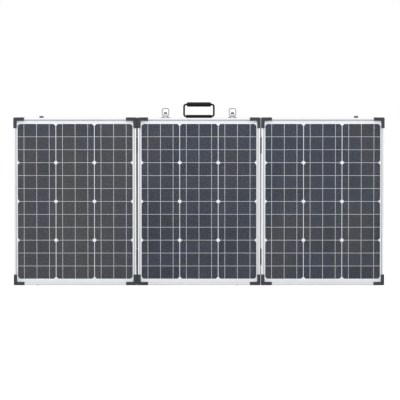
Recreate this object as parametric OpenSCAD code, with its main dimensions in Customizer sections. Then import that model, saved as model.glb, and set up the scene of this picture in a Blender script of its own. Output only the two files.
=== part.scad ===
// Folding solar suitcase kit: three framed panels side by side, which close into one
// carrying case. The left panel folds over the front of the centre panel and the right
// panel folds behind it. X runs across the panels, Y runs from front to back, Z is up,
// and the origin lies under the middle of the kit. All sizes are in millimetres.

/* [Panels] */
// Width of one panel over its frame
panel_w = 504; // [500:1:530]
// Height of one panel over its frame
panel_h = 688; // [680:1:720]
// Depth of the frame, from its front lip to its rear flange
frame_d = 35; // [32:1:40]
// Gap between two neighbouring frames
seam_gap = 6; // [6:0.5:7]

/* [Frame section] */
// Wall thickness of the outer wall and the rear flange
wall_t = 1.8; // [1.4:0.1:2.4]
// Width of the front lip
lip_w = 7.5; // [6:0.5:10]
// Thickness of the front lip
lip_t = 1.5; // [1.2:0.1:2]
// Width of the rear flange
flange_w = 20; // [16:1:24]
// Radius of the mounting holes in the rear flange
mount_hole_r = 3.5; // [3:0.25:4.5]
// Distance between the mounting holes of one side rail
mount_hole_z = 400; // [300:10:420]

/* [Laminate] */
// Thickness of the front glass
glass_t = 3.1; // [2.8:0.1:3.4]
// Width of a cell
cell_w = 156; // [150:1:158]
// Height of a cell, a third of a full one
cell_h = 52; // [50:1:53]
// Gap between two columns of cells
column_gap = 2.5; // [1.5:0.1:3]
// Gap between two rows of cells
row_gap = 1.3; // [0.8:0.1:1.8]
// Cut corner of a full cell
cell_corner = 8; // [4:0.5:12]
// Width of a ribbon
ribbon_w = 1.8; // [1.2:0.1:2.4]

/* [Corner caps] */
// Thickness of the plastic
cap_t = 2; // [1.6:0.1:2.2]
// Length of each arm of the cap
cap_arm = 44.5; // [38:0.5:52]
// Width of each arm of the cap
cap_w = 14; // [12:0.5:18]
// Radius of the outer corner
cap_corner_r = 5; // [3:0.5:8]

/* [Carrying handle] */
// Width of the bail over its rod
bail_w = 130; // [115:1:150]
// Height from the pivot to the middle of the grip
bail_h = 49; // [44:0.5:60]
// Radius of the rod
bail_r = 3.75; // [3:0.25:4]
// Radius of the bends along the middle of the rod
bail_bend_r = 8.5; // [7:0.5:12]
// Length of the grip
grip_l = 97; // [85:1:100]
// Radius of the grip
grip_r = 9.25; // [7.5:0.25:10]
// Radius of the barrel that the bail turns in
barrel_r = 6.2; // [5.5:0.1:7]

/* [Latches] */
// Distance of each latch from the middle of the kit
latch_x = 138; // [110:1:170]
// Width of the wire bail
latch_bail_w = 30; // [26:1:33]
// Height of the wire bail over the top rail
latch_bail_h = 40; // [34:1:44]
// Radius of the wire
wire_r = 1.25; // [1:0.05:1.3]

/* [Hinges] */
// Length of one hinge
hinge_l = 67; // [50:1:90]
// Distance of each hinge from mid height
hinge_z = 230; // [150:5:260]
// Radius of the knuckles
knuckle_r = 3.2; // [3:0.1:3.3]
// Radius of the hinge pin
pin_r = 1.5; // [1.2:0.1:1.8]

/* [Rear legs] */
// Height of the leg pivots
leg_pivot_z = 500; // [460:5:520]
// Length of the leg below its pivots
leg_l = 410; // [360:5:420]

// Distance of each rubber foot from the middle of its leg
foot_x = 150; // [100:5:190]

/* [Junction boxes] */
// Width of a box
box_w = 104; // [90:2:120]
// Height of a box
box_h = 78; // [60:2:90]
// Depth of a box without its lid
box_d = 17; // [14:0.5:17]
// Height of the middle of a box
box_z = 590; // [570:5:600]

/* [Charge controller] */
// Width of the case
case_w = 152; // [146:2:170]
// Height of the case
case_h = 98; // [92:2:110]
// Depth of the case
case_d = 23; // [20:1:24]
// Height of the middle of the case
case_z = 500; // [460:5:540]
// Width of the display window
screen_w = 62; // [50:1:70]
// Height of the display window
screen_h = 34; // [24:1:36]

/* [Bottom bumpers] */
// Place of the left panel's bumper, from the middle of that panel
left_stud_x = -155; // [-180:1:180]
// Place of the centre panel's bumper, from the middle of that panel
centre_stud_x = 157; // [-180:1:180]
// Radius of a bumper
stud_r = 5.5; // [4:0.5:7]

/* [Hidden] */
$fn = 48;

LEFT = -1;
CENTRE = 0;
RIGHT = 1;
pitch = panel_w + seam_gap;
low_z = cap_t;
top_z = cap_t + panel_h;
mid_z = cap_t + panel_h / 2;

// Layers of the laminate, from the front to the back
glass_y = lip_t - frame_d / 2;
ribbon_y = glass_y + glass_t;
ribbon_t = 0.2;
cell_y = ribbon_y + ribbon_t;
cell_t = 0.3;
sheet_y = cell_y + cell_t;
sheet_t = 0.6;
ledge_y = sheet_y + sheet_t;
laminate_edge = wall_t + 0.3;
laminate_w = panel_w - 2 * laminate_edge;
laminate_h = panel_h - 2 * laminate_edge;
column_pitch = cell_w + column_gap;
row_pitch = cell_h + row_gap;
COLUMNS = 3;
ROWS = 12;

// Section of a rail: first value inwards from the outer face, second value along Y
edge_c = 0.6;
rail_outline = [
    [edge_c, -frame_d / 2], [lip_w - edge_c, -frame_d / 2],
    [lip_w, edge_c - frame_d / 2], [lip_w, glass_y], [wall_t, glass_y],
    [wall_t, ledge_y], [lip_w, ledge_y], [lip_w, ledge_y + lip_t],
    [wall_t, ledge_y + lip_t], [wall_t, frame_d / 2 - wall_t],
    [flange_w, frame_d / 2 - wall_t], [flange_w, frame_d / 2],
    [edge_c, frame_d / 2], [0, frame_d / 2 - edge_c], [0, edge_c - frame_d / 2]
];

// Hinge: its axis stands this far in front of the frame, so that caps clear when folded
hinge_y = frame_d / 2 + cap_t + 0.25;
KNUCKLES = 7;
knuckle_l = hinge_l / KNUCKLES;
knuckle_gap = 0.3;
leaf_t = 1.8;
running = 0.05;

// Handle
barrel_l = bail_w - 2 * bail_r - 2 * bail_bend_r - 0.3;
handle_z = top_z + barrel_r;

// Latch, measured from the top rail
latch_y = 5;
latch_pivot_z = 5.5;
latch_pin_r = 1.5;
lever_r = 3.5;
wire_pivot_z = 10.5;
catch_x = pitch + latch_x;

// Rear leg: half width outside, thickness and depth of its bar, and its pivot
leg_x = 228;
leg_t = 3;
leg_d = 16;
leg_y = 8;
leg_low_z = leg_pivot_z - leg_l;
leg_pin_r = 3;

// Junction box lid
lid_d = 3;

// Charge controller: places are measured from the middle of the case
case_wall = 2.5;
screen_z = 16;
button_r = 4;
button_x = 46;
button_z = -24;
button_clearance = 0.08;
board_w = 140;
board_h = 86;
board_t = 1.6;
board_y = 12;
post_x = 62;
post_z = 36;
terminal_x = [-48, -16, 16, 48];

// Colours
ALUMINIUM = [0.86, 0.88, 0.9];
STEEL = [0.72, 0.73, 0.75];
DARK_PLASTIC = [0.2, 0.21, 0.23];
BLACK = [0.08, 0.08, 0.08];
CELL = [0.2, 0.22, 0.27];
WHITE = [0.93, 0.95, 0.96];

// Flat rounded rectangle in X and Z, from y = 0 backwards by depth
module rounded_plate(width, height, depth, r) {
    rotate([-90, 0, 0])
        linear_extrude(depth) {
            square([width - 2 * r, height], center = true);
            square([width, height - 2 * r], center = true);
            for (x = [-1, 1], z = [-1, 1])
                translate([x * (width / 2 - r), z * (height / 2 - r)]) circle(r);
        }
}

// Round bar along X from x1 to x2
module x_bar(x1, x2, r) {
    translate([x1, 0, 0]) rotate([0, 90, 0]) cylinder(h = x2 - x1, r = r);
}

module at_panel(side) {
    translate([side * pitch, 0, 0]) children();
}

// A straight rail with mitred ends: outer face at z = 0, looking up
module rail_bar(length) {
    reach = flange_w + 1;
    intersection() {
        rotate([0, 90, 0]) linear_extrude(length, center = true) polygon(rail_outline);
        rotate([90, 0, 0])
            linear_extrude(frame_d + 2, center = true)
                polygon([
                    [-length / 2, 0], [reach - length / 2, -reach],
                    [length / 2 - reach, -reach], [length / 2, 0]
                ]);
    }
}

module top_rail() {
    color(ALUMINIUM) translate([0, 0, top_z]) rail_bar(panel_w);
}

module bottom_rail() {
    color(ALUMINIUM) translate([0, 0, low_z]) rotate([0, 180, 0]) rail_bar(panel_w);
}

module side_rail(side) {
    color(ALUMINIUM)
        translate([side * panel_w / 2, 0, mid_z])
            difference() {
                rotate([0, side * 90, 0]) rail_bar(panel_h);
                for (z = [-1, 1])
                    translate([-side * 0.55 * flange_w, frame_d / 2 - 6, z * mount_hole_z / 2])
                        rotate([-90, 0, 0]) cylinder(h = 10, r = mount_hole_r);
            }
}

// A full-size sheet of the laminate
module layer(y, thickness) {
    translate([-laminate_w / 2, y, mid_z - laminate_h / 2])
        cube([laminate_w, thickness, laminate_h]);
}

module glass() {
    color(WHITE, 0.3) layer(glass_y, glass_t);
}

module backsheet() {
    color(WHITE) layer(sheet_y, sheet_t);
}

// One cell: a full cell is cut in three, so only its outer strips have cut corners
function cell_outline(w, h, low, high) = concat(
    low > 0
        ? [[-w, low - h], [low - w, -h], [w - low, -h], [w, low - h]]
        : [[-w, -h], [w, -h]],
    high > 0
        ? [[w, h - high], [w - high, h], [high - w, h], [-w, h - high]]
        : [[w, h], [-w, h]]
);

function column_x(i) = (i - (COLUMNS - 1) / 2) * column_pitch;

module cells() {
    color(CELL)
        for (i = [0:COLUMNS - 1], j = [0:ROWS - 1])
            translate([column_x(i), cell_y + cell_t, mid_z + (j - (ROWS - 1) / 2) * row_pitch])
                rotate([90, 0, 0])
                    linear_extrude(cell_t)
                        polygon(cell_outline(cell_w / 2, cell_h / 2,
                            j % 3 == 0 ? cell_corner : 0, j % 3 == 2 ? cell_corner : 0));
}

module ribbons() {
    length = ROWS * row_pitch - row_gap;
    color(STEEL)
        for (i = [0:COLUMNS - 1], k = [-1:1])
            translate([column_x(i) + k * cell_w / 3 - ribbon_w / 2, ribbon_y, mid_z - length / 2])
                cube([ribbon_w, ribbon_t, length]);
}

// Outline of a corner cap, drawn in by inset
module cap_outline(inset) {
    r = cap_corner_r - inset;
    length = cap_arm - inset - cap_corner_r;
    width = cap_w - 2 * inset;
    inner = 4;
    translate([cap_corner_r, inset]) square([length, width]);
    translate([inset, cap_corner_r]) square([width, length]);
    translate([cap_corner_r, cap_corner_r]) circle(r);
    difference() {
        translate([cap_w - inset, cap_w - inset]) square(inner);
        translate([cap_w - inset + inner, cap_w - inset + inner]) circle(inner);
    }
}

// An L-shaped cap that wraps the corner of a frame, front, edges and back
module corner_cap() {
    depth = frame_d + 2 * cap_t;
    bevel = 0.8;
    difference() {
        rotate([90, 0, 0]) {
            linear_extrude(depth - 2 * bevel, center = true) cap_outline(0);
            linear_extrude(depth - bevel, center = true) cap_outline(bevel / 4);
            linear_extrude(depth - bevel / 3, center = true) cap_outline(bevel / 2);
            linear_extrude(depth, center = true) cap_outline(bevel);
        }
        translate([cap_t, -frame_d / 2, cap_t]) cube([cap_arm, frame_d, cap_arm]);
    }
}

module corner_caps() {
    color(DARK_PLASTIC)
        for (x = [0, 1], z = [0, 1])
            translate([0, 0, mid_z])
                mirror([x, 0, 0]) mirror([0, 0, z])
                    translate([-panel_w / 2 - cap_t, 0, -panel_h / 2 - cap_t]) corner_cap();
}

// Rubber bumper under a bottom rail
module stud(x) {
    color(DARK_PLASTIC)
        translate([x, stud_r + 0.5 - frame_d / 2, 0]) {
            cylinder(h = edge_c, r1 = stud_r - edge_c, r2 = stud_r);
            translate([0, 0, edge_c]) cylinder(h = low_z - edge_c, r = stud_r);
        }
}

// Junction box on the back of a panel, an open shell with two cable glands
module junction_box() {
    wall = 2;
    gland_x = 26;
    color(BLACK)
        translate([0, ledge_y, box_z]) {
            difference() {
                rounded_plate(box_w, box_h, box_d, 5);
                translate([0, -1, 0])
                    rounded_plate(box_w - 2 * wall, box_h - 2 * wall, box_d + 2, 4);
            }
            for (x = [-1, 1])
                translate([x * gland_x, box_d / 2, -box_h / 2 + 0.5]) {
                    mirror([0, 0, 1]) cylinder(h = 6, r = 7);
                    mirror([0, 0, 1]) cylinder(h = 15, r = 6, $fn = 6);
                    mirror([0, 0, 1]) cylinder(h = 20, r = 4.2);
                }
        }
}

module junction_lid() {
    color(BLACK)
        translate([0, ledge_y + box_d, box_z]) {
            rounded_plate(box_w, box_h, lid_d - 1, 5);
            translate([0, 1, 0]) rounded_plate(box_w - 3, box_h - 3, lid_d - 1, 4);
            for (x = [-1, 1], z = [-1, 1])
                translate([x * (box_w / 2 - 8), 0, z * (box_h / 2 - 8)])
                    rotate([-90, 0, 0]) cylinder(h = lid_d + 0.8, r = 3.2);
        }
}

// Hook that a latch bail pulls on; face is -1 for a hook near the front, 1 for the back
module catch(face) {
    width = 17;
    color(STEEL)
        translate([0, 0, top_z])
            mirror([0, face > 0 ? 1 : 0, 0])
                rotate([90, 0, 90])
                    linear_extrude(width, center = true)
                        polygon([
                            [-16, 0], [0, 0], [0, 1.5], [-13, 1.5], [-13, 6], [-9.5, 6],
                            [-9, 7.5], [-9.6, 8], [-14, 8], [-14.5, 7.5], [-14.5, 1.5],
                            [-16, 1.5]
                        ]);
}

// Hinges of the left seam at their place; the right seam's are these turned half round
module hinge_places() {
    for (z = [-1, 1])
        translate([-pitch / 2, -hinge_y, mid_z + z * hinge_z]) children();
}

// Leaf with every second knuckle; on_wing is 1 for the wing's leaf, 0 for the centre's
module leaf(on_wing) {
    side = on_wing == 1 ? -1 : 1;
    leaf_back = 26;
    difference() {
        union() {
            translate([side > 0 ? seam_gap / 2 - leaf_t : -seam_gap / 2, 0, -hinge_l / 2])
                cube([leaf_t, leaf_back, hinge_l]);
            for (k = [0:KNUCKLES - 1])
                if (k % 2 != on_wing)
                    translate([0, 0, k * knuckle_l - hinge_l / 2 + knuckle_gap / 2])
                        cylinder(h = knuckle_l - knuckle_gap, r = knuckle_r);
        }
        for (k = [0:KNUCKLES - 1])
            if (k % 2 == on_wing)
                translate([0, 0, k * knuckle_l - hinge_l / 2 - knuckle_gap / 2])
                    cylinder(h = knuckle_l + knuckle_gap, r = knuckle_r + 0.5);
        translate([0, 0, -hinge_l]) cylinder(h = 2 * hinge_l, r = pin_r + running);
    }
}

module hinge_leaves(on_wing) {
    color(STEEL) hinge_places() leaf(on_wing);
}

module hinge_pins() {
    head = 1.2;
    color(STEEL)
        hinge_places() {
            translate([0, 0, -hinge_l / 2 - 0.5]) cylinder(h = hinge_l + 1, r = pin_r);
            for (z = [-1, 1])
                translate([0, 0, z * (hinge_l / 2 + 0.5 + head / 2)])
                    cylinder(h = head, r = 2.2, center = true);
        }
}

// Carrying handle: foot with the barrel in which the bail turns
module handle_base() {
    plate_t = 2;
    plate_d = 24;
    rivet_x = barrel_l / 2 - 12;
    color(BLACK)
        difference() {
            union() {
                translate([3 - barrel_l / 2, -plate_d / 2, top_z])
                    cube([barrel_l - 6, plate_d, plate_t]);
                translate([0, 0, handle_z]) x_bar(-barrel_l / 2, barrel_l / 2, barrel_r);
                translate([-barrel_l / 2, -barrel_r, top_z])
                    cube([barrel_l, 2 * barrel_r, barrel_r]);
                for (x = [-1, 1], y = [-1, 1])
                    translate([x * rivet_x, y * 9, top_z])
                        cylinder(h = plate_t + 1, r = 2.4);
            }
            translate([0, 0, handle_z]) x_bar(-barrel_l, barrel_l, bail_r + running);
        }
}

// A closed loop of round bar in X and Z: half width w, from z = 0 to z = h
module loop_bar(w, h, r, low_bend, high_bend) {
    x_bar(low_bend - w, w - low_bend, r);
    translate([0, 0, h]) x_bar(high_bend - w, w - high_bend, r);
    for (x = [0, 1])
        mirror([x, 0, 0]) {
            translate([w, 0, low_bend]) cylinder(h = h - low_bend - high_bend, r = r);
            translate([w - low_bend, 0, low_bend])
                rotate([90, 0, 0]) rotate([0, 0, -90])
                    rotate_extrude(angle = 90) translate([low_bend, 0]) circle(r);
            translate([w - high_bend, 0, h - high_bend])
                rotate([90, 0, 0])
                    rotate_extrude(angle = 90) translate([high_bend, 0]) circle(r);
        }
}

module handle_bail() {
    color(BLACK)
        translate([0, 0, handle_z])
            loop_bar(bail_w / 2 - bail_r, bail_h, bail_r, bail_bend_r, bail_bend_r);
}

module handle_grip() {
    bevel = 1.6;
    color(BLACK)
        translate([0, 0, handle_z + bail_h])
            rotate([0, 90, 0])
                rotate_extrude()
                    polygon([
                        [bail_r + running, -grip_l / 2], [grip_r - bevel, -grip_l / 2],
                        [grip_r - 0.4, 0.7 - grip_l / 2], [grip_r, bevel - grip_l / 2],
                        [grip_r, grip_l / 2 - bevel], [grip_r - 0.4, grip_l / 2 - 0.7],
                        [grip_r - bevel, grip_l / 2], [bail_r + running, grip_l / 2]
                    ]);
}

// Latches: drawn closing towards -Y; the left one is mirrored to close towards +Y
module latch_place(side) {
    translate([side * latch_x, 0, top_z])
        mirror([0, side < 0 ? 1 : 0, 0]) translate([0, -latch_y, 0]) children();
}

module latch_base(side) {
    ear_x = 9.5;
    ear_t = 1.5;
    screw_x = 14;
    color(STEEL)
        latch_place(side) {
            translate([-18, -8, 0]) cube([36, 18, 1.5]);
            for (x = [-1, 1])
                translate([x * screw_x, 5, 0]) cylinder(h = 2.7, r = 2.6);
            for (x = [-1, 1])
                translate([x * ear_x, 0, 0]) {
                    translate([-ear_t / 2, -3, 0]) cube([ear_t, 6, latch_pivot_z]);
                    translate([0, 0, latch_pivot_z]) x_bar(-ear_t / 2, ear_t / 2, 3);
                }
            translate([0, 0, latch_pivot_z]) x_bar(-11.6, 11.6, latch_pin_r);
        }
}

module latch_lever(side) {
    half = 8;
    cheek = 1.2;
    tip_z = 20;
    color(STEEL)
        latch_place(side)
            difference() {
                union() {
                    for (x = [-1, 1])
                        translate([x * (half - cheek / 2), 0, latch_pivot_z]) {
                            x_bar(-cheek / 2, cheek / 2, lever_r);
                            translate([-cheek / 2, -2.6, 0]) cube([cheek, 2.6 + lever_r, 8]);
                        }
                    translate([-half, lever_r - cheek, latch_pivot_z])
                        cube([2 * half, cheek, tip_z - latch_pivot_z]);
                    translate([0, lever_r - cheek, tip_z]) x_bar(1 - half, half - 1, 2.2);
                }
                translate([0, 0, latch_pivot_z]) x_bar(-20, 20, latch_pin_r + running);
                translate([0, 0, wire_pivot_z]) x_bar(-20, 20, wire_r + running);
            }
}

module latch_bail(side) {
    half = latch_bail_w / 2 - wire_r;
    low_bend = 2.6;
    high_bend = 8;
    height = latch_bail_h - wire_r - wire_pivot_z;
    stub = 6.5;
    color(STEEL)
        latch_place(side)
            translate([0, 0, wire_pivot_z])
                difference() {
                    loop_bar(half, height, wire_r, low_bend, high_bend);
                    translate([-stub, -wire_r - 1, -wire_r - 1])
                        cube([2 * stub, 2 * wire_r + 2, 2 * wire_r + 2]);
                }
}

// Rear leg: one bent flat bar, hung on two brackets in the side rails
module leg() {
    color(ALUMINIUM)
        difference() {
            union() {
                for (x = [0, 1])
                    mirror([x, 0, 0]) {
                        translate([leg_x - leg_t, leg_y - leg_d / 2, leg_low_z])
                            cube([leg_t, leg_d, leg_l]);
                        translate([0, leg_y, leg_pivot_z])
                            x_bar(leg_x - leg_t, leg_x, leg_d / 2);
                    }
                translate([-leg_x, leg_y - leg_d / 2, leg_low_z])
                    cube([2 * leg_x, leg_d, leg_t]);
            }
            translate([0, leg_y, leg_pivot_z])
                x_bar(-leg_x - 5, leg_x + 5, leg_pin_r + running);
        }
}

module leg_feet() {
    foot_w = 44;
    foot_h = 8;
    color(BLACK)
        for (x = [-foot_x, foot_x])
            translate([x - foot_w / 2, leg_y - leg_d / 2 - 1, leg_low_z - foot_h])
                cube([foot_w, leg_d + 2, foot_h]);
}

module leg_brackets() {
    block_h = 30;
    block_x = leg_x + 1;
    color(STEEL)
        for (x = [0, 1])
            mirror([x, 0, 0])
                translate([0, leg_y, leg_pivot_z]) {
                    translate([block_x, -leg_y, -block_h / 2])
                        cube([panel_w / 2 - wall_t - block_x,
                            frame_d / 2 - wall_t, block_h]);
                    x_bar(leg_x - 9, block_x, leg_pin_r);
                    translate([leg_x - 8.5, 0, 0]) rotate([0, 90, 0])
                        cylinder(h = 5, r = 5.5, $fn = 6);
                }
}

// Charge controller on the back of the centre panel
module controller_case() {
    color(BLACK)
        translate([0, ledge_y, case_z]) {
            difference() {
                rounded_plate(case_w, case_h, case_d, 8);
                translate([0, -case_wall, 0])
                    rounded_plate(case_w - 2 * case_wall, case_h - 2 * case_wall, case_d, 6);
                translate([-screen_w / 2, case_d - case_wall - 1, screen_z - screen_h / 2])
                    cube([screen_w, case_wall + 2, screen_h]);
                translate([button_x, case_d - case_wall - 1, button_z])
                    rotate([-90, 0, 0]) cylinder(h = case_wall + 2, r = button_r + button_clearance);
            }
            for (x = [-1, 1], z = [-1, 1])
                translate([x * post_x, board_y + board_t, z * post_z])
                    rotate([-90, 0, 0])
                        cylinder(h = case_d - case_wall - board_y - board_t + 0.5, r = 3);
            for (x = terminal_x)
                translate([x, case_d / 2, -case_h / 2 + 0.5]) {
                    mirror([0, 0, 1]) cylinder(h = 6, r = 7.5);
                    mirror([0, 0, 1]) cylinder(h = 14, r = 6.5, $fn = 6);
                }
        }
}

module controller_board() {
    color("darkgreen")
        translate([-board_w / 2, ledge_y + board_y, case_z - board_h / 2])
            cube([board_w, board_t, board_h]);
}

module controller_display() {
    color([0.35, 0.42, 0.38])
        translate([0, ledge_y + case_d - case_wall, case_z + screen_z])
            rounded_plate(screen_w, screen_h, case_wall - 0.7, 0.5);
}

module controller_button() {
    travel = 1.2;
    color([0.55, 0.56, 0.58])
        translate([button_x, ledge_y + case_d - case_wall, case_z + button_z])
            rotate([-90, 0, 0]) {
                translate([0, 0, -travel]) cylinder(h = case_wall + 2.4, r = button_r);
                translate([0, 0, -travel - 1.6]) cylinder(h = 1.6, r = button_r + 1.5);
            }
}

at_panel(LEFT) top_rail();  // left_top_rail
at_panel(LEFT) bottom_rail();  // left_bottom_rail
at_panel(LEFT) side_rail(-1);  // left_outer_rail
at_panel(LEFT) side_rail(1);  // left_inner_rail
at_panel(LEFT) glass();  // left_glass
at_panel(LEFT) cells();  // left_cells
at_panel(LEFT) ribbons();  // left_ribbons
at_panel(LEFT) backsheet();  // left_backsheet
at_panel(LEFT) corner_caps();  // left_corner_caps
at_panel(LEFT) junction_box();  // left_junction_box
at_panel(LEFT) junction_lid();  // left_junction_lid
translate([-catch_x, 0, 0]) catch(-1);  // left_catch
at_panel(LEFT) stud(left_stud_x);  // left_stud
hinge_leaves(1);  // left_hinge_leaves
at_panel(LEFT) leg_brackets();  // left_leg_brackets
at_panel(LEFT) leg();  // left_leg
at_panel(LEFT) leg_feet();  // left_leg_feet
at_panel(CENTRE) top_rail();  // centre_top_rail
at_panel(CENTRE) bottom_rail();  // centre_bottom_rail
at_panel(CENTRE) side_rail(-1);  // centre_left_rail
at_panel(CENTRE) side_rail(1);  // centre_right_rail
at_panel(CENTRE) glass();  // centre_glass
at_panel(CENTRE) cells();  // centre_cells
at_panel(CENTRE) ribbons();  // centre_ribbons
at_panel(CENTRE) backsheet();  // centre_backsheet
at_panel(CENTRE) corner_caps();  // centre_corner_caps
at_panel(CENTRE) stud(centre_stud_x);  // centre_stud
hinge_leaves(0);  // centre_left_leaves
rotate([0, 0, 180]) hinge_leaves(0);  // centre_right_leaves
hinge_pins();  // left_hinge_pins
rotate([0, 0, 180]) hinge_pins();  // right_hinge_pins
handle_base();
handle_bail();
handle_grip();
latch_base(LEFT);  // left_latch_base
latch_lever(LEFT);  // left_latch_lever
latch_bail(LEFT);  // left_latch_bail
latch_base(RIGHT);  // right_latch_base
latch_lever(RIGHT);  // right_latch_lever
latch_bail(RIGHT);  // right_latch_bail
controller_case();
controller_board();
controller_display();
controller_button();
at_panel(RIGHT) top_rail();  // right_top_rail
at_panel(RIGHT) bottom_rail();  // right_bottom_rail
at_panel(RIGHT) side_rail(-1);  // right_inner_rail
at_panel(RIGHT) side_rail(1);  // right_outer_rail
at_panel(RIGHT) glass();  // right_glass
at_panel(RIGHT) cells();  // right_cells
at_panel(RIGHT) ribbons();  // right_ribbons
at_panel(RIGHT) backsheet();  // right_backsheet
at_panel(RIGHT) corner_caps();  // right_corner_caps
at_panel(RIGHT) junction_box();  // right_junction_box
at_panel(RIGHT) junction_lid();  // right_junction_lid
translate([catch_x, 0, 0]) catch(1);  // right_catch
rotate([0, 0, 180]) hinge_leaves(1);  // right_hinge_leaves
at_panel(RIGHT) leg_brackets();  // right_leg_brackets
at_panel(RIGHT) leg();  // right_leg
at_panel(RIGHT) leg_feet();  // right_leg_feet
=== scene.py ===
"""Looks for the folding solar suitcase kit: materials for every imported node, small
pieces that only matter to the eye, and the studio. Everything is in metres, in the
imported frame: X across the panels, Y from the glass to the back, Z up."""

import math

import bmesh
import bpy
from mathutils import Matrix, Vector

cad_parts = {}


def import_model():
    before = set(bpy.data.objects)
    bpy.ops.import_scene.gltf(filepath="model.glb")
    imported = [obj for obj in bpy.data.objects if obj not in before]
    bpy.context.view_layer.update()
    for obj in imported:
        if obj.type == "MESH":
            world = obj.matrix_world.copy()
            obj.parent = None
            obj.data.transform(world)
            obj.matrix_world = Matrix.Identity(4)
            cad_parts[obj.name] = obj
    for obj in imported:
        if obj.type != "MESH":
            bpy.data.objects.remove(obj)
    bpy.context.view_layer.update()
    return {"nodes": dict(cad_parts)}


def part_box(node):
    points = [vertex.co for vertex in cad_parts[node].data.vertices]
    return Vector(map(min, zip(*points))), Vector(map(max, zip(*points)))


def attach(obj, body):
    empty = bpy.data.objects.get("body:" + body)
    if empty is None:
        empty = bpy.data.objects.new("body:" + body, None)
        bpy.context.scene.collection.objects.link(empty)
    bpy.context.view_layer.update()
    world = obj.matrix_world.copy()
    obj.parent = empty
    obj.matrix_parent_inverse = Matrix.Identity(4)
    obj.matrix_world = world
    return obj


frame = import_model()
nodes = frame["nodes"]

MM = 0.001
SIDES = ("left", "centre", "right")
PANEL_BODY = {side: f"{side}_panel" for side in SIDES}

# Colours are linear. The veil is how much of the glass is seen; the rest of it is clear.
GLASS_VEIL = 0.012
CELL_DARK = (0.009, 0.015, 0.030)
CELL_LIGHT = (0.017, 0.026, 0.050)
CELL_WARM = (0.038, 0.039, 0.043)
FINGER_GREY = (0.30, 0.31, 0.33)
WARM_BIAS = {"left": 0.35, "centre": -0.2, "right": -0.15}

# Sizes taken from the CAD.
COLUMNS, ROWS = 3, 12
COLUMN_GAP = 2.5 * MM
ROW_GAP = 1.3 * MM
FRAME_LIP = 7.5 * MM
GLASS_TO_FRAME_EDGE = 2.1 * MM
LEVER_CURL_R = 2.2 * MM

# How much of a seam the foam leaves to a corner cap, from the end of the rail, and to a
# hinge, from the end of its pin.
CAP_ROOM = 43.2 * MM
HINGE_ROOM = 70.4 * MM

# How far a screw or light sinks into its face, so that no gap shows under it.
SUNK = 0.05 * MM

FLOOR_BOUNCE = (0.80, 0.80, 0.80)
FLOOR_LIFT = 0.32
WORLD_LIGHT = 0.85
WORLD_BACK = 0.38


# ---------------------------------------------------------------- node-tree helpers


class Tree:
    """A material's node tree, with short ways to add and join nodes."""

    def __init__(self, name, color, metallic, roughness, ior=1.5):
        self.material = bpy.data.materials.new(name)
        self.material.use_nodes = True
        self.nodes = self.material.node_tree.nodes
        self.links = self.material.node_tree.links
        self.shader = self.nodes["Principled BSDF"]
        self.set("Base Color", (*color, 1.0))
        self.set("Metallic", metallic)
        self.set("Roughness", roughness)
        self.set("IOR", ior)
        self.coord = self.nodes.new("ShaderNodeTexCoord").outputs["Object"]

    def set(self, socket, value):
        """Sets one of the shader's own sockets."""
        self.shader.inputs[socket].default_value = value

    def join(self, output, target, socket=None):
        """Links an output to a node's socket, or sets the socket to a plain value."""
        goal = target.inputs[socket] if socket is not None else target
        if isinstance(output, bpy.types.NodeSocket):
            self.links.new(output, goal)
        else:
            goal.default_value = output

    def scaled(self, scale, offset=(0, 0, 0)):
        """Object coordinates, stretched by scale along each axis."""
        mapping = self.nodes.new("ShaderNodeMapping")
        mapping.inputs["Scale"].default_value = scale
        mapping.inputs["Location"].default_value = offset
        self.links.new(self.coord, mapping.inputs["Vector"])
        return mapping.outputs["Vector"]

    def noise(self, scale, detail=4.0, vector=None, roughness=0.55):
        """Cloudy noise over the object, or over the given coordinates."""
        node = self.nodes.new("ShaderNodeTexNoise")
        node.inputs["Scale"].default_value = scale
        node.inputs["Detail"].default_value = detail
        node.inputs["Roughness"].default_value = roughness
        self.links.new(vector or self.coord, node.inputs["Vector"])
        return node.outputs["Fac"]

    def math(self, kind, a, b=0.0, clamp=False):
        """The result of a Math node, each input a number or an output."""
        node = self.nodes.new("ShaderNodeMath")
        node.operation = kind
        node.use_clamp = clamp
        self.join(a, node, 0)
        self.join(b, node, 1)
        return node.outputs[0]

    def ramp(self, value, low, high, to_low=0.0, to_high=1.0):
        """Maps a value from low..high to to_low..to_high, and holds it outside them."""
        node = self.nodes.new("ShaderNodeMapRange")
        self.join(value, node, "Value")
        node.inputs["From Min"].default_value = low
        node.inputs["From Max"].default_value = high
        node.inputs["To Min"].default_value = to_low
        node.inputs["To Max"].default_value = to_high
        return node.outputs["Result"]

    def mix(self, factor, a, b):
        """A colour between a and b, each a colour or an output."""
        node = self.nodes.new("ShaderNodeMix")
        node.data_type = "RGBA"
        self.join(factor, node, 0)
        self.join(a if isinstance(a, bpy.types.NodeSocket) else (*a, 1.0), node, 6)
        self.join(b if isinstance(b, bpy.types.NodeSocket) else (*b, 1.0), node, 7)
        return node.outputs[2]

    def axes(self):
        """The object coordinates, one output for each axis."""
        node = self.nodes.new("ShaderNodeSeparateXYZ")
        self.links.new(self.coord, node.inputs[0])
        return node.outputs

    def color(self, output):
        """Links an output to the shader's colour."""
        self.join(output, self.shader, "Base Color")

    def roughness(self, output):
        """Links an output to the shader's roughness."""
        self.join(output, self.shader, "Roughness")

    def bump(self, height, distance, strength=1.0):
        """Bump from height; distance is how far its full range stands out, in metres."""
        node = self.nodes.new("ShaderNodeBump")
        node.inputs["Distance"].default_value = distance
        node.inputs["Strength"].default_value = strength
        self.links.new(height, node.inputs["Height"])
        self.links.new(node.outputs["Normal"], self.shader.inputs["Normal"])


# ---------------------------------------------------------------- materials


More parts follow.
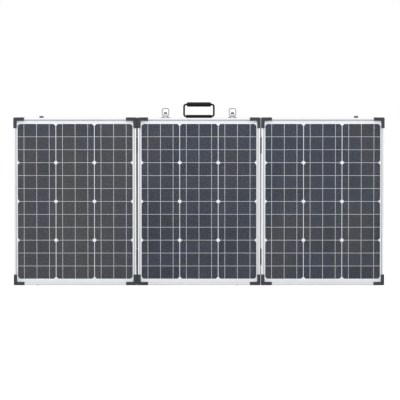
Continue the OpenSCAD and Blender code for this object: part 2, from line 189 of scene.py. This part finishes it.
def aluminium(name, along, color=(0.90, 0.915, 0.93)):
    """Satin anodised extrusion: die lines run along one axis, 0 for X or 2 for Z."""
    tree = Tree(name, color, 1.0, 0.34)
    stretch = [2600.0, 2600.0, 2600.0]
    stretch[along] = 5.0
    lines = tree.noise(1.0, 3.0, tree.scaled(stretch))
    clouds = tree.noise(9.0, 5.0)
    dark = tuple(c * 0.90 for c in color)
    light = tuple(min(1.0, c * 1.04) for c in color)
    tree.color(tree.mix(tree.ramp(lines, 0.3, 0.7), dark, light))
    soft = tree.math("MULTIPLY", tree.ramp(clouds, 0.3, 0.7), 0.10)
    tree.roughness(tree.math("ADD", tree.ramp(lines, 0.2, 0.8, 0.27, 0.36), soft))
    tree.bump(lines, 0.00002)
    return tree.material


def plated_steel(name, color):
    """Plated or blackened steel, with faint clouds and handling marks."""
    tree = Tree(name, color, 1.0, 0.22)
    clouds = tree.noise(160.0, 5.0)
    marks = tree.noise(1.0, 4.0, tree.scaled((2400.0, 500.0, 900.0)))
    tree.color(tree.mix(tree.ramp(clouds, 0.3, 0.7), tuple(c * 0.86 for c in color), color))
    tree.roughness(tree.ramp(marks, 0.3, 0.75, 0.15, 0.34))
    tree.bump(marks, 0.00002)
    return tree.material


def moulded(name, color, roughness, grain=1500.0, depth=0.00005, ior=1.40):
    """Moulded plastic: fine spark-eroded grain and a slight sheen change."""
    tree = Tree(name, color, 0.0, roughness, ior)
    fine = tree.noise(grain, 3.0)
    broad = tree.noise(25.0, 4.0)
    tree.color(tree.mix(tree.ramp(broad, 0.3, 0.7), tuple(c * 0.85 for c in color),
                        tuple(c * 1.2 for c in color)))
    tree.roughness(tree.ramp(broad, 0.3, 0.7, roughness - 0.05, roughness + 0.07))
    tree.bump(fine, depth)
    return tree.material


def rubber():
    """Dusty black rubber of the feet and studs."""
    tree = Tree("rubber_feet", (0.03, 0.03, 0.032), 0.0, 0.75)
    dust = tree.noise(220.0, 6.0)
    tree.color(tree.mix(tree.ramp(dust, 0.45, 0.8), (0.025, 0.025, 0.027),
                        (0.07, 0.07, 0.07)))
    tree.roughness(tree.ramp(dust, 0.3, 0.8, 0.65, 0.85))
    tree.bump(tree.noise(900.0, 4.0), 0.0001)
    return tree.material


def powder_coat(name, color, roughness):
    """Black powder coat: a fine orange peel."""
    tree = Tree(name, color, 0.0, roughness, 1.24)
    peel = tree.noise(700.0, 2.0)
    wear = tree.noise(60.0, 6.0)
    tree.color(tree.mix(tree.ramp(wear, 0.55, 0.8), color, tuple(c * 1.7 for c in color)))
    tree.roughness(tree.ramp(peel, 0.2, 0.8, roughness - 0.04, roughness + 0.08))
    tree.bump(peel, 0.00006)
    return tree.material


def glass():
    """Low-iron solar glass: nearly clear, with the fine stipple that such glass has."""
    tree = Tree("solar_glass", (0.95, 0.98, 1.0), 0.0, 0.09, 1.45)
    tree.set("Alpha", GLASS_VEIL)
    stipple = tree.noise(1100.0, 2.0)
    smears = tree.noise(7.0, 5.0, tree.scaled((1.0, 1.0, 2.2)))
    tree.roughness(tree.ramp(smears, 0.35, 0.75, 0.07, 0.16))
    tree.bump(stipple, 0.00001, 0.6)
    return tree.material


def backsheet():
    """White laminate sheet behind the cells, with a faint weave."""
    tree = Tree("white_backsheet", (0.86, 0.88, 0.92), 0.0, 0.5)
    weave = tree.noise(480.0, 4.0)
    broad = tree.noise(14.0, 4.0)
    tree.color(tree.mix(tree.ramp(broad, 0.3, 0.7), (0.84, 0.865, 0.91),
                        (0.88, 0.90, 0.93)))
    tree.roughness(tree.ramp(weave, 0.3, 0.7, 0.42, 0.58))
    tree.bump(weave, 0.00003)
    return tree.material


def silicon(side):
    """Dark blue-grey cells: each its own shade, with fine printed fingers across."""
    tree = Tree(f"{side}_silicon", (0.05, 0.055, 0.07), 0.0, 0.3, 1.33)
    low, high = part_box(f"{side}_cells")
    x, _, z = tree.axes()
    column_pitch = (high.x - low.x + COLUMN_GAP) / COLUMNS
    row_pitch = (high.z - low.z + ROW_GAP) / ROWS
    start_x, start_z = low.x - 1.0 * MM, low.z - 0.5 * MM
    column = tree.math("DIVIDE", tree.math("SUBTRACT", x, start_x), column_pitch)
    row = tree.math("DIVIDE", tree.math("SUBTRACT", z, start_z), row_pitch)
    place = tree.nodes.new("ShaderNodeCombineXYZ")
    tree.join(tree.math("FLOOR", column), place, 0)
    tree.join(tree.math("FLOOR", row), place, 1)
    place.inputs[2].default_value = SIDES.index(side) * 7.0
    shade = tree.nodes.new("ShaderNodeTexWhiteNoise")
    tree.links.new(place.outputs[0], shade.inputs["Vector"])
    cell = tree.mix(shade.outputs["Value"], CELL_DARK, CELL_LIGHT)
    broad = tree.noise(1.0, 1.0, tree.scaled((5.0, 1.0, 2.4)))
    warmth = tree.math("MULTIPLY", tree.ramp(broad, 0.38, 0.66), 0.7)
    warmth = tree.math("ADD", warmth, WARM_BIAS[side], clamp=True)
    cell = tree.mix(warmth, cell, CELL_WARM)
    finger_pitch = 1.9 * MM
    finger_strength = 0.16
    phase = tree.math("FRACT", tree.math("DIVIDE", z, finger_pitch))
    from_line = tree.math("ABSOLUTE", tree.math("SUBTRACT", phase, 0.5))
    finger = tree.ramp(from_line, 0.02, 0.09, 1.0, 0.0)
    cell = tree.mix(tree.math("MULTIPLY", finger, finger_strength), cell, FINGER_GREY)
    tree.color(cell)
    texture = tree.noise(900.0, 3.0)
    tree.roughness(tree.ramp(texture, 0.3, 0.7, 0.24, 0.36))
    tree.bump(texture, 0.000004)
    return tree.material


def ribbon():
    """Tinned copper ribbon, dull where the solder wetted it."""
    tree = Tree("tinned_ribbon", (0.62, 0.63, 0.65), 0.85, 0.4)
    solder = tree.noise(1.0, 4.0, tree.scaled((900.0, 900.0, 70.0)))
    tree.color(tree.mix(tree.ramp(solder, 0.3, 0.7), (0.50, 0.51, 0.53),
                        (0.72, 0.73, 0.75)))
    tree.roughness(tree.ramp(solder, 0.3, 0.7, 0.28, 0.5))
    tree.bump(solder, 0.00003)
    return tree.material


def circuit_board():
    """Green solder mask with paler patches of copper under it."""
    tree = Tree("circuit_board", (0.02, 0.16, 0.07), 0.0, 0.35)
    tracks = tree.noise(1.0, 0.0, tree.scaled((260.0, 1.0, 180.0)))
    tree.color(tree.mix(tree.ramp(tracks, 0.48, 0.52), (0.015, 0.13, 0.05),
                        (0.03, 0.22, 0.09)))
    tree.bump(tracks, 0.00003)
    return tree.material


def screen():
    """Grey liquid-crystal window with a faint cell pattern."""
    tree = Tree("display_window", (0.28, 0.33, 0.28), 0.0, 0.12)
    x, _, z = tree.axes()
    dots = tree.math("MULTIPLY", tree.math("FRACT", tree.math("MULTIPLY", x, 700.0)),
                     tree.math("FRACT", tree.math("MULTIPLY", z, 700.0)))
    tree.color(tree.mix(tree.ramp(dots, 0.0, 1.0, 0.0, 0.4), (0.30, 0.35, 0.29),
                        (0.20, 0.24, 0.20)))
    tree.roughness(tree.ramp(tree.noise(60.0, 3.0), 0.3, 0.7, 0.08, 0.18))
    return tree.material


def foam():
    """Closed-cell foam tape."""
    tree = Tree("foam_tape", (0.03, 0.032, 0.03), 0.0, 0.9)
    pores = tree.noise(1400.0, 3.0)
    tree.color(tree.mix(tree.ramp(pores, 0.3, 0.7), (0.008, 0.009, 0.008),
                        (0.018, 0.019, 0.018)))
    tree.bump(pores, 0.0002)
    return tree.material


def sealant():
    """Grey sealant, painted paler along the bottom rail: painted light on the bead where it
    faces up.
    """
    tree = Tree("grey_sealant", (0.30, 0.31, 0.33), 0.0, 0.5)
    lumps = tree.noise(260.0, 3.0)
    bead_grey = tree.mix(tree.ramp(lumps, 0.3, 0.7), (0.24, 0.25, 0.27), (0.36, 0.37, 0.39))
    # Painted light: a paler grey for the bottom bead, as if lit from above where it faces up.
    painted_lit_bottom = tree.mix(tree.ramp(lumps, 0.3, 0.7), (0.66, 0.67, 0.69), (0.74, 0.75, 0.77))
    height = tree.axes()[2]
    # Below about 2 to 5 cm of height the bead takes the paler painted-light grey; above that it
    # keeps its own grey.
    tree.color(tree.mix(tree.ramp(height, 0.02, 0.05), painted_lit_bottom, bead_grey))
    tree.bump(lumps, 0.0001)
    return tree.material


def lens(name, color, glow):
    """Small indicator lens: tinted, glossy, and faintly lit from behind."""
    tree = Tree(name, color, 0.0, 0.15)
    cloud = tree.noise(700.0, 2.0)
    tree.color(tree.mix(tree.ramp(cloud, 0.3, 0.7), tuple(c * 0.8 for c in color), color))
    tree.set("Emission Color", (*color, 1.0))
    tree.set("Emission Strength", glow)
    return tree.material


CAP_PLASTIC = moulded("cap_plastic", (0.037, 0.042, 0.050), 0.48)
BOX_PLASTIC = moulded("box_plastic", (0.018, 0.018, 0.019), 0.4)
GRIP_PLASTIC = moulded("grip_plastic", (0.002, 0.002, 0.002), 0.34, 900.0, ior=1.28)
TRIM_PLASTIC = moulded("trim_plastic", (0.035, 0.036, 0.038), 0.32)
BUTTON_PLASTIC = moulded("button_plastic", (0.22, 0.23, 0.25), 0.45)
COAT = powder_coat("black_coat", (0.001, 0.001, 0.0013), 0.3)
RAIL_X = aluminium("rail_along_x", 0)
RAIL_Z = aluminium("rail_along_z", 2)
LEG_ALUMINIUM = aluminium("leg_aluminium", 2, (0.74, 0.76, 0.78))
STEEL = plated_steel("plated_steel", (0.60, 0.61, 0.63))
WIRE = plated_steel("wire_steel", (0.05, 0.05, 0.052))
DARK_STEEL = plated_steel("dark_steel", (0.16, 0.16, 0.17))
BLACK_STEEL = plated_steel("black_steel", (0.05, 0.05, 0.052))
RUBBER = rubber()
GLASS = glass()
BACKSHEET = backsheet()
RIBBON = ribbon()
FOAM = foam()
SEALANT = sealant()
GREEN_LENS = lens("green_lens", (0.05, 0.55, 0.12), 0.4)
AMBER_LENS = lens("amber_lens", (0.75, 0.34, 0.03), 0.0)
SILICON = {side: silicon(side) for side in SIDES}

BY_ENDING = (
    ("top_rail", RAIL_X), ("bottom_rail", RAIL_X), ("_rail", RAIL_Z), ("_glass", GLASS),
    ("_ribbons", RIBBON), ("_backsheet", BACKSHEET), ("_corner_caps", CAP_PLASTIC),
    ("_stud", RUBBER), ("_leg_feet", RUBBER), ("_leg", LEG_ALUMINIUM),
    ("junction_box", BOX_PLASTIC), ("junction_lid", BOX_PLASTIC),
    ("controller_case", BOX_PLASTIC), ("controller_button", BUTTON_PLASTIC),
    ("controller_board", circuit_board()), ("controller_display", screen()),
    ("_latch_bail", WIRE), ("_latch_lever", STEEL), ("_catch", DARK_STEEL),
    ("_leaves", BLACK_STEEL), ("_hinge_pins", BLACK_STEEL), ("_latch_base", DARK_STEEL),
    ("handle_grip", GRIP_PLASTIC), ("handle_base", COAT), ("handle_bail", COAT),
)


def finish_for(name):
    """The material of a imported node, from what its name ends in."""
    for side in SIDES:
        if name == f"{side}_cells":
            return SILICON[side]
    for ending, material in BY_ENDING:
        if name.endswith(ending):
            return material
    return STEEL


# ---------------------------------------------------------------- edges of the nodes

EDGE_RADIUS = (
    ("_rail", 0.35 * MM), ("junction_box", 0.5 * MM), ("junction_lid", 0.6 * MM),
    ("controller_case", 0.6 * MM), ("_latch_lever", 0.3 * MM), ("_latch_base", 0.3 * MM),
    ("_catch", 0.3 * MM), ("_leg", 0.5 * MM), ("_leg_feet", 1.5 * MM),
    ("_leg_brackets", 0.5 * MM), ("handle_base", 0.5 * MM), ("controller_button", 0.4 * MM),
)


def soften(name, node):
    """Rounds a node's sharp edges a little with a modifier, as real edges are."""
    for ending, radius in EDGE_RADIUS:
        if name.endswith(ending):
            bevel = node.modifiers.new("edges", "BEVEL")
            bevel.width = radius
            bevel.segments = 2
            bevel.limit_method = "ANGLE"
            bevel.angle_limit = math.radians(40)
            return


for name, node in nodes.items():
    for slot in node.material_slots:
        slot.material = finish_for(name)
    soften(name, node)


# ---------------------------------------------------------------- small pieces


def piece(name, mesh, material, body):
    """A Blender object from a bmesh, which rides on a body."""
    data = bpy.data.meshes.new(name)
    bmesh.ops.recalc_face_normals(mesh, faces=mesh.faces)
    mesh.to_mesh(data)
    mesh.free()
    data.materials.append(material)
    made = bpy.data.objects.new(name, data)
    bpy.context.scene.collection.objects.link(made)
    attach(made, body)
    return made


def smooth(made, angle=35.0):
    """Smooth shading, with edges sharper than angle kept."""
    for polygon in made.data.polygons:
        polygon.use_smooth = True
    mesh = bmesh.new()
    mesh.from_mesh(made.data)
    for edge in mesh.edges:
        if len(edge.link_faces) == 2 and edge.calc_face_angle() > math.radians(angle):
            edge.smooth = False
    mesh.to_mesh(made.data)
    mesh.free()


def add_lathe(mesh, profile, place, steps=32):
    """Turns a profile of (radius, height) round Z, then moves it by the matrix place."""
    rings = []
    for radius, height in profile:
        if radius < 1e-7:
            rings.append([mesh.verts.new(place @ Vector((0, 0, height)))])
            continue
        rings.append([
            mesh.verts.new(place @ Vector((radius * math.cos(a), radius * math.sin(a), height)))
            for a in (2 * math.pi * k / steps for k in range(steps))
        ])
    for low, high in zip(rings, rings[1:]):
        for k in range(steps):
            corners = [low[k % len(low)], low[(k + 1) % len(low)],
                       high[(k + 1) % len(high)], high[k % len(high)]]
            distinct = list(dict.fromkeys(corners))
            if len(distinct) > 2:
                mesh.faces.new(distinct)


def bridge(mesh, loops, closed=False):
    """Skins between neighbouring loops of one length; closed joins the last to the first."""
    following = loops[1:] + loops[:1] if closed else loops[1:]
    for a, b in zip(loops, following):
        for k in range(len(a)):
            after = (k + 1) % len(a)
            mesh.faces.new((a[k], a[after], b[after], b[k]))


def add_ring(mesh, low, high, y, width, height):
    """A mitred bead round the rectangle low..high in X and Z, sloping inwards."""
    loops = []
    for inset, out in ((0.0, 0.0), (0.0, height), (0.35 * width, 0.55 * height), (width, 0.0)):
        loops.append([
            mesh.verts.new((x, y - out, z))
            for x, z in ((low.x + inset, low.z + inset), (high.x - inset, low.z + inset),
                         (high.x - inset, high.z - inset), (low.x + inset, high.z - inset))
        ])
    bridge(mesh, loops, closed=True)


def sealant_bead(side):
    """Bead of sealant in the corner between the front lip and the glass."""
    glass_low, glass_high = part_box(f"{side}_glass")
    inset = FRAME_LIP - GLASS_TO_FRAME_EDGE
    off_glass = 0.02 * MM
    width, height = 2.0 * MM, 0.9 * MM
    low = Vector((glass_low.x + inset, 0, glass_low.z + inset))
    high = Vector((glass_high.x - inset, 0, glass_high.z - inset))
    mesh = bmesh.new()
    add_ring(mesh, low, high, glass_low.y - off_glass, width, height)
    piece(f"{side}_sealant", mesh, SEALANT, PANEL_BODY[side])


def screw_profile(radius, height):
    """Pan head: flat under, domed over."""
    steps = 6
    dome = [(radius * math.cos(0.5 * math.pi * k / steps) ** 0.6,
             height * (0.35 + 0.65 * math.sin(0.5 * math.pi * k / steps)))
            for k in range(steps)]
    return [(0.0, 0.0), (radius, 0.0)] + dome + [(0.0, height)]


def cap_screws(side):
    """Screws through the top arms of the corner caps."""
    low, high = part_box(f"{side}_corner_caps")
    mesh = bmesh.new()
    from_end = 33 * MM
    for x in (low.x + from_end, high.x - from_end):
        place = Matrix.Translation((x, 0, high.z - SUNK))
        add_lathe(mesh, screw_profile(3.0 * MM, 1.2 * MM), place, 24)
    smooth(piece(f"{side}_cap_screws", mesh, STEEL, PANEL_BODY[side]))


def seam_foam(name, seam_side, thickness, depth_low):
    """Foam tape on the seam side of a centre rail, in three stretches clear of the caps
    and the two hinges. depth_low is how far forward it starts."""
    low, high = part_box(f"centre_{name}_rail")
    face = low.x if seam_side < 0 else high.x
    pin_low, pin_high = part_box(f"{name}_hinge_pins")
    free = 0.6 * MM
    stretches = (
        (low.z + CAP_ROOM, pin_low.z - free),
        (pin_low.z + HINGE_ROOM + free, pin_high.z - HINGE_ROOM - free),
        (pin_high.z + free, high.z - CAP_ROOM),
    )
    mesh = bmesh.new()
    depth_high = 9.0 * MM
    round_off = 1.0 * MM
    bulge = 0.3 * round_off
    section = [(0.0, depth_low), (thickness - round_off, depth_low),
               (thickness - bulge, depth_low + bulge),
               (thickness, depth_low + round_off), (thickness, depth_high - round_off),
               (thickness - bulge, depth_high - bulge),
               (thickness - round_off, depth_high), (0.0, depth_high)]
    for z_low, z_high in stretches:
        ends = [[mesh.verts.new((face + seam_side * out, y, z)) for out, y in section]
                for z in (z_low, z_high)]
        bridge(mesh, ends)
        mesh.faces.new(ends[0])
        mesh.faces.new(ends[1][::-1])
    piece(f"{name}_seam_foam", mesh, FOAM, "centre_panel")


def facing_back(x, y, z):
    """A place on a rear face: the lathe's own Z points backwards, along +Y."""
    return Matrix.Translation((x, y, z)) @ Matrix.Rotation(math.radians(-90), 4, "X")


def facing_down(x, y, z):
    """A place under a box: the lathe's own Z points down."""
    return Matrix.Translation((x, y, z)) @ Matrix.Rotation(math.radians(180), 4, "X")


def controller_trim():
    """Bezel, indicator lights and case screws of the charge controller."""
    low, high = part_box("controller_case")
    screen_low, screen_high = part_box("controller_display")
    screen_recess = 0.7 * MM
    face = screen_high.y + screen_recess
    mesh = bmesh.new()
    wide, raised = 3.0 * MM, 1.0 * MM
    loops = []
    for out, rise in ((wide, 0.0), (wide, 0.6 * raised), (wide - 0.5 * MM, raised),
                      (0.4 * MM, raised), (0.0, 0.4 * raised), (0.0, 0.0)):
        loops.append([mesh.verts.new((x, face + rise, z)) for x, z in (
            (screen_low.x - out, screen_low.z - out),
            (screen_high.x + out, screen_low.z - out),
            (screen_high.x + out, screen_high.z + out),
            (screen_low.x - out, screen_high.z + out))])
    bridge(mesh, loops, closed=True)
    piece("controller_bezel", mesh, TRIM_PLASTIC, "centre_panel")

    middle = (low.x + high.x) / 2
    light_z = screen_low.z - 21 * MM
    light_pitch = 15 * MM
    first_light = middle - 1.4 * light_pitch
    for k, material in enumerate((GREEN_LENS, GREEN_LENS, AMBER_LENS)):
        mesh = bmesh.new()
        place = facing_back(first_light + k * light_pitch, face - SUNK, light_z)
        add_lathe(mesh, screw_profile(1.7 * MM, 1.3 * MM), place, 20)
        smooth(piece(f"controller_light_{k}", mesh, material, "centre_panel"))

    mesh = bmesh.new()
    button_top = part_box("controller_button")[1].z
    below_button = 17 * MM
    inset = 8 * MM
    for x in (low.x + inset, high.x - inset):
        for z in (button_top - below_button, high.z - inset):
            place = facing_back(x, face - SUNK, z)
            add_lathe(mesh, screw_profile(2.6 * MM, 1.1 * MM), place, 20)
    smooth(piece("controller_screws", mesh, STEEL, "centre_panel"))


def gland_rings(name, body, count, first, pitch, radius, y, z):
    """Ribbed clamping nuts over the cable glands along the bottom of a box."""
    mesh = bmesh.new()
    ribs = 18
    for k in range(count):
        place = facing_down(first + k * pitch, y, z)
        rings = []
        for height, grow in ((0.0, 0.94), (0.6 * MM, 1.0), (3.4 * MM, 1.0), (4.0 * MM, 0.94)):
            ring = []
            for step in range(2 * ribs):
                angle = math.pi * step / ribs
                out = radius * grow * (1.0 if step % 2 else 0.95)
                ring.append(mesh.verts.new(
                    place @ Vector((out * math.cos(angle), out * math.sin(angle), height))))
            rings.append(ring)
        mesh.faces.new(rings[0])
        mesh.faces.new(rings[-1])
        bridge(mesh, rings)
    piece(name, mesh, TRIM_PLASTIC, body)


def box_glands():
    """Gland nuts of both junction boxes and of the controller."""
    pitch = 52 * MM
    for side in ("left", "right"):
        low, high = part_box(f"{side}_junction_box")
        first = (low.x + high.x) / 2 - pitch / 2
        below_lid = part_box(f"{side}_junction_lid")[0].z - 7.5 * MM
        gland_rings(f"{side}_gland_nuts", PANEL_BODY[side], 2, first, pitch, 7.4 * MM,
                    (low.y + high.y) / 2, below_lid)
    low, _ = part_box("controller_case")
    pitch = 32 * MM
    gland_rings("controller_gland_nuts", "centre_panel", 4, -1.5 * pitch, pitch, 7.6 * MM,
                low.y + 11.5 * MM, low.z + 7.0 * MM)


def handle_collars():
    """Turned collars at both ends of the grip, which keep it in place on the bail."""
    low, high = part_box("handle_grip")
    middle = Vector(((low.x + high.x) / 2, (low.y + high.y) / 2, (low.z + high.z) / 2))
    mesh = bmesh.new()
    inner, outer = 3.8 * MM, 5.6 * MM
    length, edge = 2.2 * MM, 0.5 * MM
    for sign, end in ((-1, low.x), (1, high.x)):
        place = (Matrix.Translation((end, middle.y, middle.z))
                 @ Matrix.Rotation(math.radians(90 * sign), 4, "Y"))
        profile = [(inner, 0.0), (outer, 0.0), (outer, length - edge),
                   (outer - edge, length), (inner, length), (inner, 0.0)]
        add_lathe(mesh, profile, place)
    smooth(piece("handle_collars", mesh, COAT, "handle"))


def latch_trim(side, closes):
    """Near-black sleeve on the curled end of a lever, a dark piece put there as painted shade
    for the shading under the curl, and dark screws through the latch foot.
    closes is the way the lever closes along Y, 1 or -1."""
    low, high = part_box(f"{side}_latch_lever")
    middle = (low.x + high.x) / 2
    curl_y = high.y - LEVER_CURL_R if closes > 0 else low.y + LEVER_CURL_R
    length, wall = 12.0 * MM, 0.7 * MM
    outer = LEVER_CURL_R + wall
    edge = 0.5 * MM
    profile = [(0.0, 0.0), (outer - edge, 0.0), (outer, edge),
               (outer, length - edge), (outer - edge, length), (0.0, length)]
    mesh = bmesh.new()
    place = (Matrix.Translation((middle - length / 2, curl_y, high.z - LEVER_CURL_R))
             @ Matrix.Rotation(math.radians(90), 4, "Y"))
    add_lathe(mesh, profile, place, 24)
    # The sleeve is painted shade: a near-black piece that stands for the shading under the
    # lever's curl.
    smooth(piece(f"{side}_lever_painted_shade", mesh, GRIP_PLASTIC, f"{side}_latch_lever"))
    foot_low, foot_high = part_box(f"{side}_latch_base")
    mesh = bmesh.new()
    inset_x, inset_y = 4.0 * MM, 5.0 * MM
    screw_y = foot_high.y - inset_y if closes > 0 else foot_low.y + inset_y
    screw_z = foot_low.z + 1.4 * MM
    for x in (foot_low.x + inset_x, foot_high.x - inset_x):
        add_lathe(mesh, screw_profile(3.0 * MM, 1.9 * MM),
                  Matrix.Translation((x, screw_y, screw_z)), 20)
    smooth(piece(f"{side}_latch_screws", mesh, BLACK_STEEL, "centre_panel"))


def cap_pads():
    """Black pads on the centre panel's left corner caps, which meet the wing's caps."""
    low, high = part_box("centre_corner_caps")
    thickness = 1.6 * MM
    inset = 2.0 * MM
    length = 42.0 * MM
    mesh = bmesh.new()
    for z_low in (low.z + inset, high.z - inset - length):
        made = bmesh.ops.create_cube(mesh, size=1.0)
        size = (thickness, high.y - low.y - 2 * inset, length)
        middle = Vector((low.x - thickness / 2, (low.y + high.y) / 2,
                         z_low + length / 2))
        for vert in made["verts"]:
            vert.co = Vector(a * b for a, b in zip(vert.co, size)) + middle
    piece("left_cap_pads", mesh, FOAM, "centre_panel")


for side in SIDES:
    sealant_bead(side)
    cap_screws(side)
cap_pads()
controller_trim()
box_glands()
handle_collars()
latch_trim("left", -1)
latch_trim("right", 1)
seam_foam("left", -1, 5.7 * MM, -14.0 * MM)
seam_foam("right", 1, 3.4 * MM, -8.0 * MM)


# ---------------------------------------------------------------- studio


def floor():
    """Pale floor: lifted to full white for the camera, and a duller white as a
    reflector of light on the object."""
    bpy.ops.mesh.primitive_plane_add(size=60.0, location=(0, 0, 0))
    made = bpy.context.object
    made.name = "studio_floor"
    tree = Tree("studio_floor", (0.93, 0.93, 0.93), 0.0, 1.0)
    tree.set("Specular IOR Level", 0.0)
    seen = tree.nodes.new("ShaderNodeLightPath").outputs["Is Camera Ray"]
    grain = tree.mix(tree.noise(3.0, 3.0), (0.96, 0.96, 0.96), (0.98, 0.98, 0.98))
    tree.color(tree.mix(seen, FLOOR_BOUNCE, grain))
    tree.set("Emission Color", (1.0, 1.0, 1.0, 1.0))
    tree.join(tree.math("MULTIPLY", seen, FLOOR_LIFT), tree.shader, "Emission Strength")
    made.data.materials.append(tree.material)


def area_light(name, place, aim, size, radiance):
    """A soft box of a given brightness, which the camera doesn't see."""
    data = bpy.data.lights.new(name, "AREA")
    data.shape = "RECTANGLE"
    data.size, data.size_y = size
    data.energy = radiance * math.pi * size[0] * size[1]
    made = bpy.data.objects.new(name, data)
    made.location = place
    made.rotation_euler = (Vector(aim) - Vector(place)).to_track_quat("-Z", "Y").to_euler()
    made.visible_camera = False
    bpy.context.scene.collection.objects.link(made)


def world():
    """White surround: full white to the camera; as light it dims towards the back."""
    made = bpy.data.worlds.new("studio")
    made.use_nodes = True
    tree = made.node_tree
    background = tree.nodes["Background"]
    background.inputs["Color"].default_value = (1.0, 1.0, 1.0, 1.0)
    seen = tree.nodes.new("ShaderNodeLightPath").outputs["Is Camera Ray"]
    direction = tree.nodes.new("ShaderNodeTexCoord").outputs["Generated"]
    axes = tree.nodes.new("ShaderNodeSeparateXYZ")
    tree.links.new(direction, axes.inputs[0])
    # The fade starts and ends at these values of the ray's own Y.
    fade_from, fade_to = 0.05, 0.8
    towards_back = tree.nodes.new("ShaderNodeMapRange")
    towards_back.inputs["From Min"].default_value = fade_from
    towards_back.inputs["From Max"].default_value = fade_to
    towards_back.inputs["To Min"].default_value = WORLD_LIGHT
    towards_back.inputs["To Max"].default_value = WORLD_BACK
    tree.links.new(axes.outputs["Y"], towards_back.inputs["Value"])
    strength = tree.nodes.new("ShaderNodeMapRange")
    tree.links.new(towards_back.outputs["Result"], strength.inputs["To Min"])
    strength.inputs["To Max"].default_value = 1.0
    tree.links.new(seen, strength.inputs["Value"])
    tree.links.new(strength.outputs["Result"], background.inputs["Strength"])
    bpy.context.scene.world = made


def lights():
    """A wide soft box in front, a strip above it and a soft box behind."""
    middle = (0, 0, 0.35)
    for name, place, size, radiance in (
        ("front_box", (-0.7, -5.5, 1.75), (6.0, 3.3), 0.5),
        ("top_strip", (-0.3, -2.2, 3.2), (3.2, 0.6), 6.2),
        ("back_box", (1.8, 3.4, 2.4), (2.4, 1.8), 2.6),
    ):
        area_light(name, place, middle, size, radiance)


def camera():
    """A long lens, almost level, square to the panels."""
    distance = 10.0
    field_width = 1.648
    aim_x, aim_z = 0.0043, 0.3520
    data = bpy.data.cameras.new("camera")
    data.sensor_width = 36.0
    data.lens = data.sensor_width * distance / field_width
    made = bpy.data.objects.new("camera", data)
    target = Vector((aim_x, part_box("centre_glass")[0].y, aim_z))
    lift = math.radians(2.5)
    back = Vector((0, -math.cos(lift), math.sin(lift)))
    made.location = target + back * distance
    made.rotation_euler = (-back).to_track_quat("-Z", "Y").to_euler()
    bpy.context.scene.collection.objects.link(made)
    bpy.context.scene.camera = made


floor()
world()
lights()
camera()
bpy.context.scene.view_settings.view_transform = "Standard"
